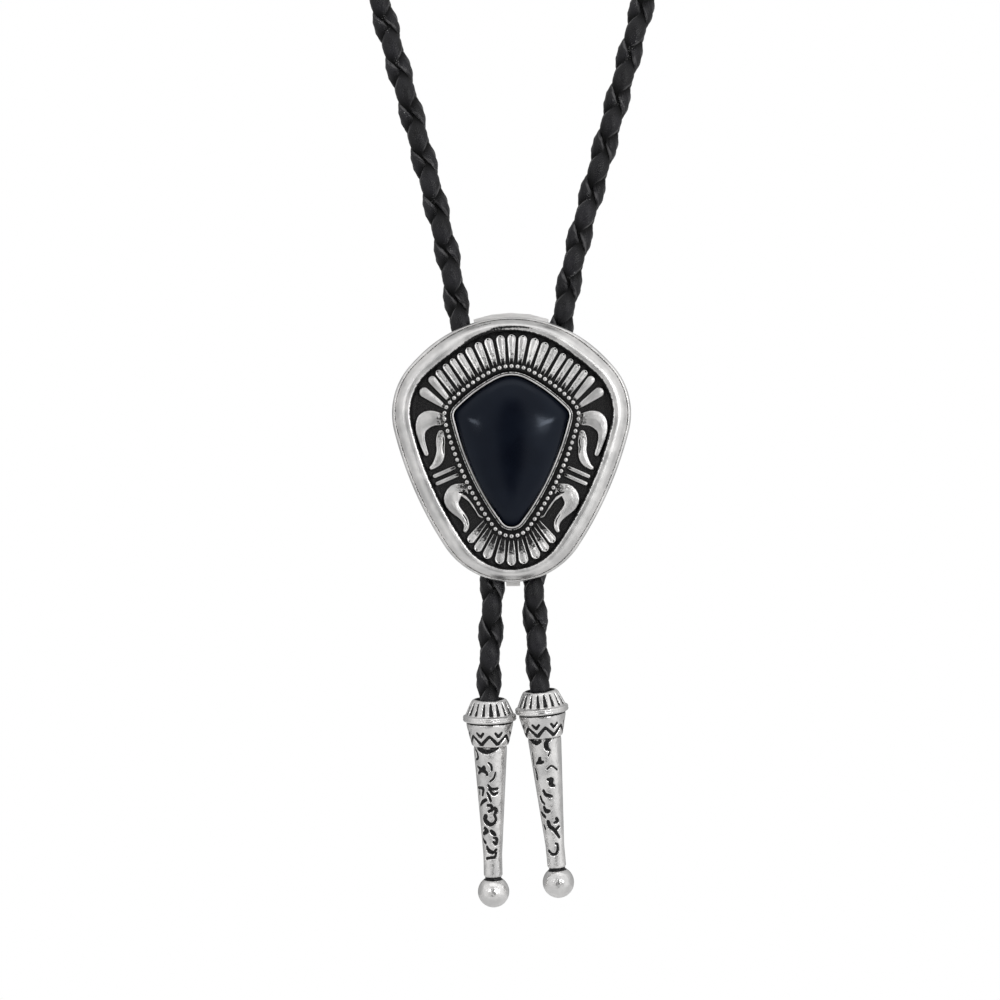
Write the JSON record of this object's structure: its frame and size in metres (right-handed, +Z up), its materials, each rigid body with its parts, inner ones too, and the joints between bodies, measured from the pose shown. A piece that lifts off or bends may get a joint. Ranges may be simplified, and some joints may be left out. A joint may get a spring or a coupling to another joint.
{
  "type": "bolo tie",
  "caption": "Bolo tie: cast antique-silver slide with rays, scrolls and a black kite-shaped cabochon, on a braided black leather cord with tapered metal tips.",
  "frame": {"origin": "middle of the cord at the nape, where it hangs on the neck", "axes": "+Z up along the worn tie, front towards -Y, the wearer's left at +X"},
  "size_m": [0.1365, 0.1306, 0.3748],
  "materials": {
    "antique_silver": "antique silver plate, bright satin crests over blackened recesses",
    "black_stone": "polished black dome",
    "clip_steel": "plain brushed nickel plate",
    "black_leather": "braided satin leather"
  },
  "bodies": {
    "root": {"slide": "antique_silver", "stone": "black_stone", "clip_back": "clip_steel", "cord": "black_leather", "tip_left": "antique_silver", "tip_right": "antique_silver"}
  },
  "joints": []
}
